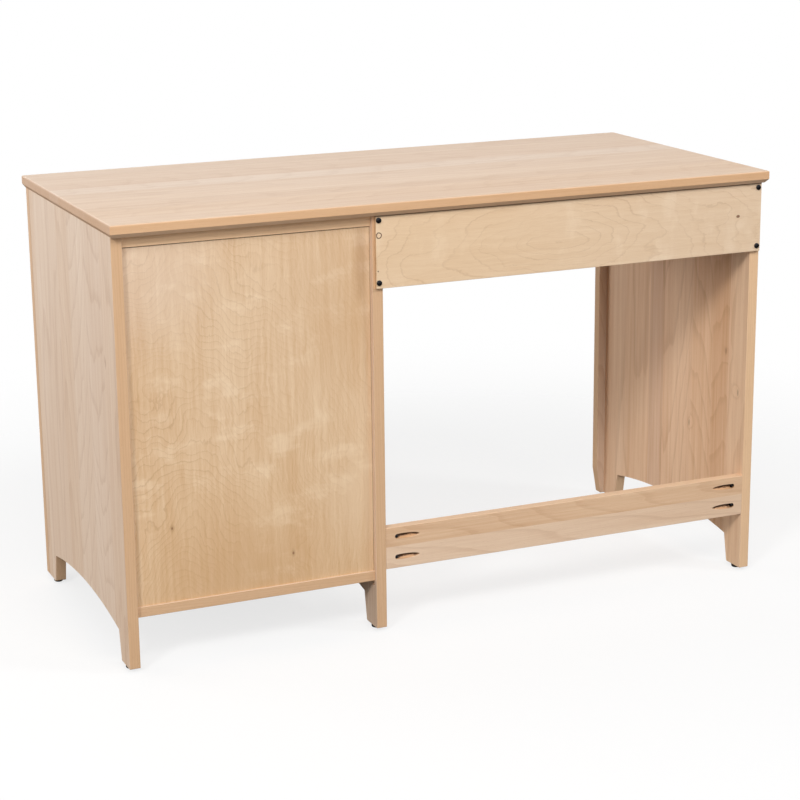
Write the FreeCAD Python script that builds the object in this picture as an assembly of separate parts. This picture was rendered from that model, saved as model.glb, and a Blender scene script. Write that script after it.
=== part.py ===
import FreeCAD, Part
import math
import os

# A shaker desk of solid boards. It stands on the floor at z = 0, its drawers open towards -Y,
# and the drawer pedestal is at +X. The origin is under the middle of everything it spans.
# All lengths are in millimetres.

# Case, without the top's overhangs
desk_height = 766.5
case_width = 1217.0
case_depth = 548.5
board_thickness = 19.0
partition_offset = 147.5
board_ease = 0.8

# Top
top_thickness = 22.0
top_side_overhang = 5.0
top_front_overhang = 6.5
top_rear_overhang = 19.0
top_upper_round = 3.0
top_lower_bevel = 7.0

# Feet and arches of the standing panels
foot_height = 53.5
arch_rise = 19.5
panel_foot_width = 57.0
panel_foot_taper = 10.0
foot_corner_round = 3.0
foot_heel_round = 1.5
glide_inset = 27.5
glide_height = 7.0
glide_diameter = 16.5
glide_edge_round = 3.0
nail_diameter = 2.5
nail_length = 18.0
nail_cover = 1.6

# Face frame
frame_thickness = 19.0
stile_width = 36.0
stile_foot_taper = 9.0
top_rail_height = 28.0
drawer_rail_height = 19.0
tenon_length = 8.0
tenon_thickness = 6.0
tenon_shoulder = 4.0
joint_clearance = 0.1

# Pedestal back and bottom
bottom_clearance_height = 87.5
bottom_thickness = 18.0
rail_recess = 7.0
back_rail_depth = 60.0
back_rail_thickness = 20.0
back_rail_tongue_width = 20.0
tongue_setback = 30.0
ply_recess = 10.0
ply_thickness = 6.0
ply_groove_depth = 6.0
ply_clearance = 0.2
groove_run_out = 10.0

# Apron over the rear of the kneehole
apron_height = 126.0
apron_thickness = 6.5
apron_side_setback = 2.5
apron_partition_setback = 4.5
screw_edge_distance = 10.0
upper_screw_distance = 9.0
screw_head_diameter = 9.5
screw_head_height = 3.0
screw_head_crown = 1.2
screw_recess_length = 5.2
screw_recess_width = 1.3
screw_recess_depth = 1.6
screw_shank_diameter = 4.0
screw_length = 25.0
screw_clearance = 0.05

# Lower stretcher and its pocket slots
stretcher_lift = 107.5
stretcher_height = 75.0
pocket_diameter = 9.5
pocket_angle = 9.0
pocket_depth = 2.2
pocket_end_distance = 16.5
pocket_spacing = 38.0
pocket_middle_height = 39.0
pocket_cutter_length = 90.0
pocket_screw_drop = 1.3
pocket_screw_advance = 1.0
pocket_screw_head_diameter = 6.6
pocket_screw_head_height = 2.4
pocket_screw_length = 30.0

# Cleats under the top
cleat_size = 19.0
cleat_end_gap = 30.0
top_screw_length = 33.0
top_screw_inset = 60.0
top_screw_head_height = 2.6
top_screw_head_diameter = 8.0

# Drawers
lower_drawer_opening = 292.0
drawer_gap = 2.0
drawer_side_thickness = 12.0
drawer_rear_gap = 53.5
drawer_dado_depth = 7.0
drawer_back_dado = 5.0
drawer_bottom_thickness = 6.0
drawer_bottom_lift = 10.0
drawer_groove_depth = 5.0
drawer_groove_clearance = 0.2
drawer_top_room = 12.0
drawer_bottom_room = 8.0
drawer_front_ease = 1.5
drawer_side_ease = 2.0

# Knobs
knob_diameter = 35.0
knob_neck_diameter = 13.0
knob_base_diameter = 18.0
knob_base_height = 3.0
knob_neck_height = 8.0
knob_rim_height = 17.0
knob_rim_round = 2.0
knob_waist_shares = (0.30, 0.42)
knob_flare_shares = (0.30, 0.62)
knob_projection = 25.0
knob_screw_diameter = 4.0
knob_screw_grip = 14.0
knob_screw_head_diameter = 8.5
knob_screw_head_height = 2.2
one_knob_shares = (0.5,)
two_knob_shares = (0.25, 0.75)

# Full-extension slides, three nested channels in each
slide_thickness = 12.7
slide_height = 45.0
slide_end_gap = 2.0
slide_metal = 1.2
slide_play = 0.4
slide_mouth = 1.9
slide_setback = 1.0

# One overrun serves every cut that runs right through
overrun = 5.0

# Heights worked out from the sizes above
foot_bottom = glide_height
case_top = desk_height - top_thickness
foot_spring = foot_bottom + foot_height
arch_crown = foot_spring + arch_rise
bottom_low = foot_bottom + bottom_clearance_height
bottom_high = bottom_low + bottom_thickness
apron_low = case_top - apron_height
upper_opening_low = apron_low + drawer_rail_height
upper_opening_high = case_top - top_rail_height
lower_opening_high = bottom_high + lower_drawer_opening
middle_opening_low = lower_opening_high + drawer_rail_height

# Depths: the front is at -Y, and the part's box is centred on the origin
front_reach = max(knob_projection, top_front_overhang)
case_front = (front_reach - top_rear_overhang - case_depth) / 2
case_rear = case_front + case_depth
frame_rear = case_front + frame_thickness
panel_middle = (frame_rear + case_rear) / 2
rail_rear = case_rear - rail_recess
ply_rear = case_rear - ply_recess
slide_front = frame_rear + slide_setback
box_rear = ply_rear - ply_thickness - drawer_rear_gap
slide_length = box_rear - slide_front - slide_end_gap

# Widths: each panel by its lower and higher face along X
case_right = case_width / 2
case_left = -case_right
pedestal_inner = case_right - board_thickness
partition_high = partition_offset + board_thickness / 2
partition_low = partition_high - board_thickness
kneehole_inner = case_left + board_thickness
pedestal_opening_high = case_right - stile_width
pedestal_opening_low = partition_offset + stile_width / 2
kneehole_opening_high = partition_offset - stile_width / 2
kneehole_opening_low = case_left + stile_width


def point(x, y, z):
    return FreeCAD.Vector(x, y, z)


def block(x_range, y_range, z_range):
    """A straight block between two values along each axis."""
    low = point(x_range[0], y_range[0], z_range[0])
    spans = [high - low_value for low_value, high in (x_range, y_range, z_range)]
    return Part.makeBox(spans[0], spans[1], spans[2], low)


def rod(start, direction, diameter, length):
    return Part.makeCylinder(diameter / 2, length, start, direction)


def group(solids):
    """Separate solids that share one node."""
    return Part.makeCompound(solids)


def cut_all(solid, cutters):
    for cutter in cutters:
        solid = solid.cut(cutter)
    return solid


def straight_along(edge, axis):
    """True for a straight edge that runs along the axis."""
    if not isinstance(edge.Curve, Part.Line):
        return False
    start, end = edge.Vertexes[0].Point, edge.Vertexes[-1].Point
    run = (end - start).normalize()
    return abs(abs(run.dot(axis)) - 1) < 1e-6


def ease(solid, axis, radius, keep):
    """Round the straight edges along one axis whose middle the keep test accepts."""
    edges = [edge for edge in solid.Edges if straight_along(edge, axis) and keep(edge.CenterOfMass)]
    return solid.makeFillet(radius, edges) if edges else solid


def near(first, second):
    return abs(first - second) < joint_clearance / 2


ALONG_X = point(1, 0, 0)
ALONG_Y = point(0, 1, 0)
ALONG_Z = point(0, 0, 1)


def cap_middle(rim, low, high):
    """The middle of a round cap's profile, which meets the axis squarely: its distance out and along."""
    rise = high - low
    radius = (rim ** 2 + rise ** 2) / (2 * rise)
    half_turn = math.asin(rim / radius) / 2
    return radius * math.sin(half_turn), high - radius * (1 - math.cos(half_turn))


def path_face(corners, arcs=()):
    """A flat face from corners in order; arcs maps a corner's number to the point its arc passes."""
    edges = []
    passes = dict(arcs)
    for number, corner in enumerate(corners):
        following = corners[(number + 1) % len(corners)]
        if number in passes:
            edges.append(Part.Arc(corner, passes[number], following).toShape())
        else:
            edges.append(Part.LineSegment(corner, following).toShape())
    return Part.Face(Part.Wire(edges))


# ---------------------------------------------------------------- top


def edge_profile(low, high, overhangs, place):
    """The top's section across one direction: eased above, bevelled below as far in as it overhangs."""
    base = case_top
    crown = desk_height
    upper = top_upper_round
    lower = top_lower_bevel
    low_bevel, high_bevel = (min(lower, overhang) for overhang in overhangs)
    upper_bite = upper * (1 - math.sqrt(0.5))
    corners = [
        place(low + low_bevel, base),
        place(high - high_bevel, base),
        place(high, base + lower),
        place(high, crown - upper),
        place(high - upper, crown),
        place(low + upper, crown),
        place(low, crown - upper),
        place(low, base + lower),
    ]
    arcs = {
        3: place(high - upper_bite, crown - upper_bite),
        5: place(low + upper_bite, crown - upper_bite),
    }
    return path_face(corners, arcs)


top_left = case_left - top_side_overhang
top_right = case_right + top_side_overhang
top_front = case_front - top_front_overhang
top_rear = case_rear + top_rear_overhang


def tabletop():
    depth_overhangs = (top_front_overhang, top_rear_overhang)
    side_overhangs = (top_side_overhang, top_side_overhang)
    across = edge_profile(top_front, top_rear, depth_overhangs, lambda y, z: point(top_left, y, z))
    along = edge_profile(top_left, top_right, side_overhangs, lambda x, z: point(x, top_front, z))
    long_bar = across.extrude(ALONG_X * (top_right - top_left))
    deep_bar = along.extrude(ALONG_Y * (top_rear - top_front))
    return cut_all(long_bar.common(deep_bar), top_screw_holes())


# ---------------------------------------------------------------- standing panels


def arched_board(x_low, x_high):
    """A standing board with a tapered foot at each end and a shallow arch between them."""
    front, rear = frame_rear, case_rear
    inner_front = front + panel_foot_width
    inner_rear = rear - panel_foot_width
    toe_front = inner_front - panel_foot_taper
    toe_rear = inner_rear + panel_foot_taper
    outline = [
        (rear, foot_bottom),
        (rear, case_top),
        (front, case_top),
        (front, foot_bottom),
        (toe_front, foot_bottom),
        (inner_front, foot_spring),
        (inner_rear, foot_spring),
        (toe_rear, foot_bottom),
    ]
    corners = [point(x_low, y, z) for y, z in outline]
    face = path_face(corners, {5: point(x_low, panel_middle, arch_crown)})
    solid = face.extrude(ALONG_X * (x_high - x_low))
    solid = ease(solid, ALONG_X, foot_corner_round, is_inner_toe)
    solid = ease(solid, ALONG_X, foot_heel_round, is_heel)
    return ease(solid, ALONG_Z, board_ease, lambda spot: near(spot.y, case_rear))


def is_inner_toe(spot):
    inside = frame_rear + foot_corner_round < spot.y < case_rear - foot_corner_round
    return inside and near(spot.z, foot_bottom)


def is_heel(spot):
    return near(spot.y, case_rear) and near(spot.z, foot_bottom)


def ply_groove(face_x, into):
    """The groove that the plywood back slides into, stopping below the bottom board."""
    depth = ply_groove_depth * into
    ends = sorted((face_x, face_x + depth))
    width = (ply_rear - ply_thickness - ply_clearance, ply_rear + ply_clearance)
    return block(ends, width, (bottom_low - groove_run_out, case_top + overrun))


def bottom_housing(face_x, into):
    """The stopped housing that the bottom board's tongue sits in."""
    reach = (tenon_length + joint_clearance) * into
    ends = sorted((face_x, face_x + reach))
    return block(ends, grown(bottom_tongue_depths()), grown(bottom_tongue_heights()))


def rail_mortise(face_x, into):
    reach = (tenon_length + joint_clearance) * into
    ends = sorted((face_x, face_x + reach))
    return block(ends, grown(back_rail_tongue_depths()), grown(back_rail_tongue_heights()))


def grown(pair):
    return (pair[0] - joint_clearance, pair[1] + joint_clearance)


def pedestal_side():
    cutters = [
        ply_groove(pedestal_inner, 1),
        bottom_housing(pedestal_inner, 1),
        rail_mortise(pedestal_inner, 1),
    ]
    board = arched_board(pedestal_inner, case_right)
    return cut_all(board, cutters + nail_holes(case_right - board_thickness / 2))


def partition():
    cutters = [
        ply_groove(partition_high, -1),
        bottom_housing(partition_high, -1),
        rail_mortise(partition_high, -1),
    ]
    cutters += [bore_for(screw) for screw in apron_screw_places() if screw.x > 0]
    cutters += [pilot for pilot in stretcher_pilots(1)]
    board = arched_board(partition_low, partition_high)
    return cut_all(board, cutters + nail_holes(partition_offset))


def kneehole_side():
    cutters = [bore_for(screw) for screw in apron_screw_places() if screw.x < 0]
    cutters += [pilot for pilot in stretcher_pilots(-1)]
    board = arched_board(case_left, kneehole_inner)
    return cut_all(board, cutters + nail_holes(case_left + board_thickness / 2))


# ---------------------------------------------------------------- face frame


def stile(x_low, x_high, low_taper, high_taper):
    """An upright of the face frame whose foot narrows to the floor; only outer corners are eased."""
    outline = [
        (x_low + low_taper, foot_bottom),
        (x_high - high_taper, foot_bottom),
        (x_high, foot_spring),
        (x_high, case_top),
        (x_low, case_top),
        (x_low, foot_spring),
    ]
    corners = [point(x, case_front, z) for x, z in outline]
    solid = path_face(corners).extrude(ALONG_Y * frame_thickness)
    solid = ease(solid, ALONG_Z, board_ease, is_outer_corner)
    return cut_all(solid, frame_mortises())


def is_outer_corner(spot):
    return near(spot.y, case_front) and near(abs(spot.x), case_right)


def pedestal_stile():
    return stile(pedestal_opening_high, case_right, stile_foot_taper, 0)


def middle_stile():
    half_taper = stile_foot_taper / 2
    return stile(kneehole_opening_high, pedestal_opening_low, half_taper, half_taper)


def kneehole_stile():
    return stile(case_left, kneehole_opening_low, 0, stile_foot_taper)


def frame_rail_places():
    """Each rail of the face frame: its opening along X and its height range."""
    pedestal = (pedestal_opening_low, pedestal_opening_high)
    kneehole = (kneehole_opening_low, kneehole_opening_high)
    return {
        "pedestal_top_rail": (pedestal, (upper_opening_high, case_top)),
        "kneehole_top_rail": (kneehole, (upper_opening_high, case_top)),
        "kneehole_drawer_rail": (kneehole, (apron_low, upper_opening_low)),
        "pedestal_rail_upper": (pedestal, (apron_low, upper_opening_low)),
        "pedestal_rail_lower": (pedestal, (lower_opening_high, middle_opening_low)),
        "pedestal_bottom_rail": (pedestal, (foot_spring, bottom_high)),
    }


def tenon(x_range, z_range, clearance):
    """The stub tenons of a rail, reaching into the stiles on both sides."""
    middle = (case_front + frame_rear) / 2
    half = tenon_thickness / 2 + clearance
    reach = tenon_length + clearance
    heights = (z_range[0] + tenon_shoulder - clearance, z_range[1] - tenon_shoulder + clearance)
    return block((x_range[0] - reach, x_range[1] + reach), (middle - half, middle + half), heights)


def rail_tenon(name, clearance):
    x_range, z_range = frame_rail_places()[name]
    if name == "pedestal_bottom_rail":
        z_range = (arch_crown, bottom_high)
    return tenon(x_range, z_range, clearance)


def frame_mortises():
    return [rail_tenon(name, joint_clearance) for name in frame_rail_places()]


def frame_rail(name):
    x_range, z_range = frame_rail_places()[name]
    solid = block(x_range, (case_front, frame_rear), z_range)
    if name == "pedestal_bottom_rail":
        solid = arched_rail(x_range, z_range)
    return solid.fuse(rail_tenon(name, 0)).removeSplitter()


def arched_rail(x_range, z_range):
    low, high = x_range
    corners = [
        point(low, case_front, z_range[0]),
        point(high, case_front, z_range[0]),
        point(high, case_front, z_range[1]),
        point(low, case_front, z_range[1]),
    ]
    crown = point((low + high) / 2, case_front, arch_crown)
    return path_face(corners, {0: crown}).extrude(ALONG_Y * frame_thickness)


# ---------------------------------------------------------------- pedestal back and bottom


def bottom_tongue_depths():
    return (frame_rear + tongue_setback, rail_rear - tongue_setback)


def bottom_tongue_heights():
    middle = (bottom_low + bottom_high) / 2
    return (middle - tenon_thickness / 2, middle + tenon_thickness / 2)


def pedestal_bottom():
    board = block((partition_high, pedestal_inner), (frame_rear, rail_rear), (bottom_low, bottom_high))
    board = ease(board, ALONG_X, board_ease, lambda spot: near(spot.y, rail_rear))
    reach = (partition_high - tenon_length, pedestal_inner + tenon_length)
    tongue = block(reach, bottom_tongue_depths(), bottom_tongue_heights())
    return board.fuse(tongue).removeSplitter().cut(ply_slot())


def back_rail_heights():
    return (case_top - back_rail_thickness, case_top)


def back_rail_tongue_depths():
    front = rail_rear - back_rail_depth
    middle = (front + ply_rear - ply_thickness) / 2
    return (middle - back_rail_tongue_width / 2, middle + back_rail_tongue_width / 2)


def back_rail_tongue_heights():
    low, high = back_rail_heights()
    middle = (low + high) / 2
    return (middle - tenon_thickness / 2, middle + tenon_thickness / 2)


def back_top_rail():
    depths = (rail_rear - back_rail_depth, rail_rear)
    board = block((partition_high, pedestal_inner), depths, back_rail_heights())
    board = ease(board, ALONG_X, board_ease, lambda spot: near(spot.y, rail_rear))
    reach = (partition_high - tenon_length, pedestal_inner + tenon_length)
    tongue = block(reach, back_rail_tongue_depths(), back_rail_tongue_heights())
    return board.fuse(tongue).removeSplitter().cut(ply_slot())


def ply_blank(reach, clearance):
    """The plywood back, held in grooves on all four sides."""
    widths = (partition_high - reach, pedestal_inner + reach)
    depths = (ply_rear - ply_thickness - clearance, ply_rear + clearance)
    heights = (bottom_high - reach, back_rail_heights()[0] + reach)
    return block(widths, depths, heights)


def ply_slot():
    return ply_blank(ply_groove_depth, ply_clearance)


def back_panel():
    return ply_blank(ply_groove_depth - ply_clearance, 0)


# ---------------------------------------------------------------- apron


apron_rear = case_rear + apron_thickness
apron_ends = (case_left + apron_side_setback, partition_high - apron_partition_setback)


def apron_screw_places():
    columns = (partition_offset, case_left + board_thickness / 2)
    rows = (apron_low + screw_edge_distance, case_top - upper_screw_distance)
    return [point(x, apron_rear, z) for x in columns for z in rows]


def bore_for(place):
    diameter = screw_shank_diameter + 2 * screw_clearance
    return rod(place, ALONG_Y * -1, diameter, screw_length + screw_clearance)


def kneehole_apron():
    panel = block(apron_ends, (case_rear, apron_rear), (apron_low, case_top))
    panel = ease(panel, ALONG_X, board_ease, lambda spot: near(spot.y, apron_rear))
    return cut_all(panel, [bore_for(place) for place in apron_screw_places()])


def pan_screw(place):
    """A pan-head screw with a cross recess, its head on the apron and its shank towards -Y."""
    radius = screw_head_diameter / 2
    side = screw_head_height - screw_head_crown
    head = dome(radius, side, screw_head_height)
    head.translate(place)
    shank = rod(place, ALONG_Y * -1, screw_shank_diameter, screw_length)
    cuts = [recess_bar(place, turned) for turned in (False, True)]
    return cut_all(head.fuse(shank), cuts)


def dome(radius, side, height):
    """A round head along +Y: a short wall and a crown over it."""
    corners = [point(0, 0, 0), point(radius, 0, 0), point(radius, side, 0), point(0, height, 0)]
    out, along = cap_middle(radius, side, height)
    face = path_face(corners, {2: point(out, along, 0)})
    return face.revolve(point(0, 0, 0), ALONG_Y, 360)


def recess_bar(place, turned):
    long_half, short_half = screw_recess_length / 2, screw_recess_width / 2
    wide, tall = (short_half, long_half) if turned else (long_half, short_half)
    floor = place.y + screw_head_height - screw_recess_depth
    return block(
        (place.x - wide, place.x + wide),
        (floor, place.y + screw_head_height + overrun),
        (place.z - tall, place.z + tall),
    )


def apron_screws():
    return group([pan_screw(place) for place in apron_screw_places()])


# ---------------------------------------------------------------- stretcher


stretcher_low = foot_bottom + stretcher_lift
stretcher_high = stretcher_low + stretcher_height


def pocket_places():
    """Each pocket: the end it is near (1 is the partition's) and its height."""
    middle = stretcher_low + pocket_middle_height
    rows = (middle - pocket_spacing / 2, middle + pocket_spacing / 2)
    return [(side, z) for side in (1, -1) for z in rows]


def pocket_direction(side):
    angle = math.radians(pocket_angle)
    return point(side * math.cos(angle), -math.sin(angle), 0)


def stretcher_end(side):
    return partition_low if side > 0 else kneehole_inner


def pocket_deep_end(side, z):
    """The middle of the cutter's round nose where the pocket is deepest."""
    x = stretcher_end(side) - side * (pocket_end_distance + pocket_diameter / 2)
    return point(x, case_rear - pocket_depth, z)


def pocket(side, z):
    """A round-nosed cut at a low angle that leaves a slot: round at one end, pointed at the other."""
    run = pocket_direction(side)
    deep = pocket_deep_end(side, z)
    stem = rod(deep - run * pocket_cutter_length, run, pocket_diameter, pocket_cutter_length)
    return stem.fuse(Part.makeSphere(pocket_diameter / 2, deep))


def pocket_screw_seat(side, z):
    advanced = pocket_deep_end(side, z) + pocket_direction(side) * pocket_screw_advance
    return advanced - ALONG_Y * pocket_screw_drop


def pocket_pilot(side, z):
    diameter = screw_shank_diameter + 2 * screw_clearance
    seat = pocket_screw_seat(side, z)
    run = pocket_direction(side)
    start = seat - run * pocket_screw_head_height
    return rod(start, run, diameter, pocket_screw_length + pocket_screw_head_height)


def stretcher_pilots(side):
    return [pocket_pilot(end, z) for end, z in pocket_places() if end == side]


def lower_stretcher():
    depths = (case_rear - board_thickness, case_rear)
    board = block((kneehole_inner, partition_low), depths, (stretcher_low, stretcher_high))
    board = ease(board, ALONG_X, board_ease, lambda spot: True)
    cutters = [pocket(side, z) for side, z in pocket_places()]
    cutters += [pocket_pilot(side, z) for side, z in pocket_places()]
    return cut_all(board, cutters)


def pocket_screw(side, z):
    seat = pocket_screw_seat(side, z)
    run = pocket_direction(side)
    head = rod(seat, run * -1, pocket_screw_head_diameter, pocket_screw_head_height)
    shank = rod(seat, run, screw_shank_diameter, pocket_screw_length - screw_clearance)
    return head.fuse(shank).removeSplitter()


def stretcher_screws():
    return group([pocket_screw(side, z) for side, z in pocket_places()])


# ---------------------------------------------------------------- glides


def foot_middles():
    return (frame_rear + glide_inset, case_rear - glide_inset)


def glide_places():
    columns = (case_right - board_thickness / 2, partition_offset, case_left + board_thickness / 2)
    return [point(x, y, 0) for x in columns for y in foot_middles()]


def glide(place):
    """A round pad under a foot, rounded at its lower edge, with a seat for its nail."""
    pad = rod(place, ALONG_Z, glide_diameter, glide_height)
    rims = [edge for edge in pad.Edges if near(edge.CenterOfMass.z, 0) and len(edge.Vertexes) == 1]
    pad = pad.makeFillet(glide_edge_round, rims)
    return pad.cut(nail_hole(place))


def nail_hole(place):
    start = point(place.x, place.y, nail_cover)
    diameter = nail_diameter + 2 * screw_clearance
    return rod(start, ALONG_Z, diameter, nail_length + screw_clearance)


def nail_holes(column):
    return [nail_hole(point(column, y, 0)) for y in foot_middles()]


def nail(place):
    return rod(point(place.x, place.y, nail_cover), ALONG_Z, nail_diameter, nail_length)


def foot_glides():
    return group([glide(place) for place in glide_places()])


def glide_nails():
    return group([nail(place) for place in glide_places()])


# ---------------------------------------------------------------- cleats and top screws


cleat_depths = (frame_rear + cleat_end_gap, case_rear - back_rail_depth - cleat_end_gap)


def cleat_ranges():
    """Each cleat lies against one panel, under the top."""
    return {
        "cleat_pedestal": (pedestal_inner - cleat_size, pedestal_inner),
        "cleat_partition": (partition_low - cleat_size, partition_low),
        "cleat_kneehole": (kneehole_inner, kneehole_inner + cleat_size),
    }


def cleat_screw_places(name):
    low, high = cleat_ranges()[name]
    ends = (cleat_depths[0] + top_screw_inset, cleat_depths[1] - top_screw_inset)
    return [point((low + high) / 2, y, case_top - cleat_size) for y in ends]


def cleat(name):
    strip = block(cleat_ranges()[name], cleat_depths, (case_top - cleat_size, case_top))
    return cut_all(strip, [top_screw_hole(place) for place in cleat_screw_places(name)])


def top_screw_hole(place):
    diameter = screw_shank_diameter + 2 * screw_clearance
    return rod(place, ALONG_Z, diameter, top_screw_length + screw_clearance)


def top_screw_holes():
    return [top_screw_hole(place) for name in cleat_ranges() for place in cleat_screw_places(name)]


def top_screw(place):
    head = rod(place, ALONG_Z * -1, top_screw_head_diameter, top_screw_head_height)
    return head.fuse(rod(place, ALONG_Z, screw_shank_diameter, top_screw_length)).removeSplitter()


def top_screws():
    return group([top_screw(place) for name in cleat_ranges() for place in cleat_screw_places(name)])


# ---------------------------------------------------------------- drawers


class Drawer:
    """One drawer, by the opening it fills and the walls that its slides are fixed to."""

    def __init__(self, name, x_range, z_range, walls, knob_shares):
        self.name = name
        self.left, self.right = x_range
        self.low, self.high = z_range
        self.walls = walls
        self.knob_shares = knob_shares
        self.box_left = self.left + slide_thickness
        self.box_right = self.right - slide_thickness
        self.box_low = self.low + drawer_bottom_room
        self.box_high = self.high - drawer_top_room
        self.slide_middle = (self.box_low + self.box_high) / 2
        self.knob_height = (self.low + self.high) / 2
        self.floor_low = self.box_low + drawer_bottom_lift
        self.floor_high = self.floor_low + drawer_bottom_thickness

    def knob_columns(self):
        width = self.right - self.left
        return [self.left + width * share for share in self.knob_shares]

    def side_ranges(self):
        left = (self.box_left, self.box_left + drawer_side_thickness)
        right = (self.box_right - drawer_side_thickness, self.box_right)
        return (left, right)

    def floor_slot(self):
        """The space that the bottom takes, with its clearance, cut from what holds it."""
        reach = drawer_side_thickness - drawer_groove_depth
        widths = (self.box_left + reach, self.box_right - reach)
        depths = (frame_rear - drawer_groove_depth, box_rear + overrun)
        heights = (self.floor_low - drawer_groove_clearance, self.floor_high + drawer_groove_clearance)
        return block(widths, depths, heights)

    def front(self):
        widths = (self.left + drawer_gap, self.right - drawer_gap)
        heights = (self.low + drawer_gap, self.high - drawer_gap)
        panel = block(widths, (case_front, frame_rear), heights)
        for axis in (ALONG_X, ALONG_Z):
            panel = ease(panel, axis, drawer_front_ease, lambda spot: near(spot.y, case_front))
        cutters = [self.side_blank(ends, joint_clearance) for ends in self.side_ranges()]
        cutters += [self.floor_slot()]
        cutters += [self.screw_hole(x) for x in self.knob_columns()]
        return cut_all(panel, cutters)

    def side_blank(self, ends, clearance):
        widths = (ends[0] - clearance, ends[1] + clearance)
        depths = (frame_rear - drawer_dado_depth - clearance, box_rear)
        heights = (self.box_low - clearance, self.box_high + clearance)
        return block(widths, depths, heights)

    def sides(self):
        dado = self.back_blank(joint_clearance)
        pair = []
        for ends in self.side_ranges():
            side = self.side_blank(ends, 0)
            side = ease(side, ALONG_Y, drawer_side_ease, lambda spot: near(spot.z, self.box_high))
            pair.append(cut_all(side, [self.floor_slot(), dado]))
        return group(pair)

    def back_blank(self, clearance):
        reach = drawer_side_thickness - drawer_back_dado - clearance
        widths = (self.box_left + reach, self.box_right - reach)
        rear = box_rear - drawer_side_thickness
        depths = (rear - drawer_side_thickness - clearance, rear + clearance)
        low = self.floor_high + drawer_groove_clearance
        return block(widths, depths, (low, self.box_high - drawer_side_ease + clearance))

    def back(self):
        board = self.back_blank(0)
        return ease(board, ALONG_X, board_ease, lambda spot: spot.z > self.slide_middle)

    def bottom(self):
        reach = drawer_side_thickness - drawer_groove_depth + drawer_groove_clearance
        widths = (self.box_left + reach, self.box_right - reach)
        depths = (frame_rear - drawer_groove_depth + drawer_groove_clearance, box_rear)
        return block(widths, depths, (self.floor_low, self.floor_high))

    def screw_hole(self, x):
        start = point(x, frame_rear + overrun, self.knob_height)
        diameter = knob_screw_diameter + 2 * screw_clearance
        return rod(start, ALONG_Y * -1, diameter, frame_thickness + 2 * overrun)

    def knobs(self):
        return group([knob(point(x, case_front, self.knob_height)) for x in self.knob_columns()])

    def knob_screws(self):
        return group([knob_screw(point(x, frame_rear, self.knob_height)) for x in self.knob_columns()])

    def slide_sides(self):
        """Each slide: the face it is fixed to and the way it faces along X."""
        return ((self.left, 1), (self.right, -1))

    def channel(self, face_x, facing, near_x, far_x, height, open_side):
        """One channel of a slide; near_x and far_x count from the face it is fixed to."""
        ends = sorted((face_x + facing * near_x, face_x + facing * far_x))
        depths = (slide_front, slide_front + slide_length)
        half = height / 2
        solid = block(ends, depths, (self.slide_middle - half, self.slide_middle + half))
        hollow_near = near_x + slide_metal if open_side > 0 else near_x - overrun
        hollow_far = far_x + overrun if open_side > 0 else far_x - slide_metal
        hollow_ends = sorted((face_x + facing * hollow_near, face_x + facing * hollow_far))
        inner = half - slide_metal
        room = (depths[0] - overrun, depths[1] + overrun)
        hollow = block(hollow_ends, room, (self.slide_middle - inner, self.slide_middle + inner))
        return solid.cut(hollow)

    def cabinet_members(self):
        far = slide_thickness - slide_metal - slide_mouth
        return [self.channel(x, way, 0, far, slide_height, 1) for x, way in self.slide_sides()]

    def middle_members(self):
        step = slide_metal + slide_play
        far = slide_thickness - slide_metal - 1.5 * slide_play
        height = slide_height - 2 * step
        return group([self.channel(x, way, step, far, height, 1) for x, way in self.slide_sides()])

    def drawer_members(self):
        step = 2 * (slide_metal + slide_play)
        far = slide_thickness
        height = slide_height - 2 * step
        return group([self.channel(x, way, step, far, height, -1) for x, way in self.slide_sides()])

    def spacers(self):
        """Strips between the slides and the panels they are carried by."""
        heights = (self.slide_middle - slide_height / 2, self.slide_middle + slide_height / 2)
        depths = (frame_rear, slide_front + slide_length)
        spans = ((self.walls[0], self.left), (self.right, self.walls[1]))
        return [block(span, depths, heights) for span in spans]

    def parts(self):
        shapes = {
            "front": self.front(),
            "sides": self.sides(),
            "back": self.back(),
            "bottom": self.bottom(),
            "knob": self.knobs(),
            "knob_screw": self.knob_screws(),
            "slide_member": self.drawer_members(),
            "slide_middle": self.middle_members(),
        }
        return {f"{self.name}_{suffix}": shape for suffix, shape in shapes.items()}


def knob(place):
    """A turned wooden knob: a small foot, a neck, and a mushroom head, standing out towards -Y."""
    rim = knob_diameter / 2
    neck = knob_neck_diameter / 2
    base = knob_base_diameter / 2
    corners = [
        point(0, 0, 0),
        point(base, 0, 0),
        point(base, -knob_base_height, 0),
        point(neck, -knob_neck_height, 0),
        point(rim, -knob_rim_height, 0),
        point(0, -knob_projection, 0),
    ]
    waist = part_way(corners[3], corners[2], knob_waist_shares)
    flare = part_way(corners[3], corners[4], knob_flare_shares)
    out, along = cap_middle(rim, knob_rim_height, knob_projection)
    face = path_face(corners, {2: waist, 3: flare, 4: point(out, -along, 0)})
    turned = face.revolve(point(0, 0, 0), ALONG_Y, 360)
    rims = [edge for edge in turned.Edges if is_rim(edge)]
    turned = turned.makeFillet(knob_rim_round, rims)
    turned.translate(place)
    diameter = knob_screw_diameter + 2 * screw_clearance
    bore = rod(place, ALONG_Y * -1, diameter, knob_screw_grip + screw_clearance)
    return turned.cut(bore)


def part_way(start, end, shares):
    """A point between two others, at one share of the way out and another of the way along."""
    out = start.x + (end.x - start.x) * shares[0]
    return point(out, start.y + (end.y - start.y) * shares[1], 0)


def is_rim(edge):
    return len(edge.Vertexes) == 1 and near(edge.CenterOfMass.y, -knob_rim_height)


def knob_screw(place):
    """A screw through the drawer front into the knob, its head inside the drawer."""
    head = dome(knob_screw_head_diameter / 2, knob_screw_head_height / 2, knob_screw_head_height)
    head.translate(place)
    shank = rod(place, ALONG_Y * -1, knob_screw_diameter, frame_thickness + knob_screw_grip)
    return head.fuse(shank)


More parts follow.
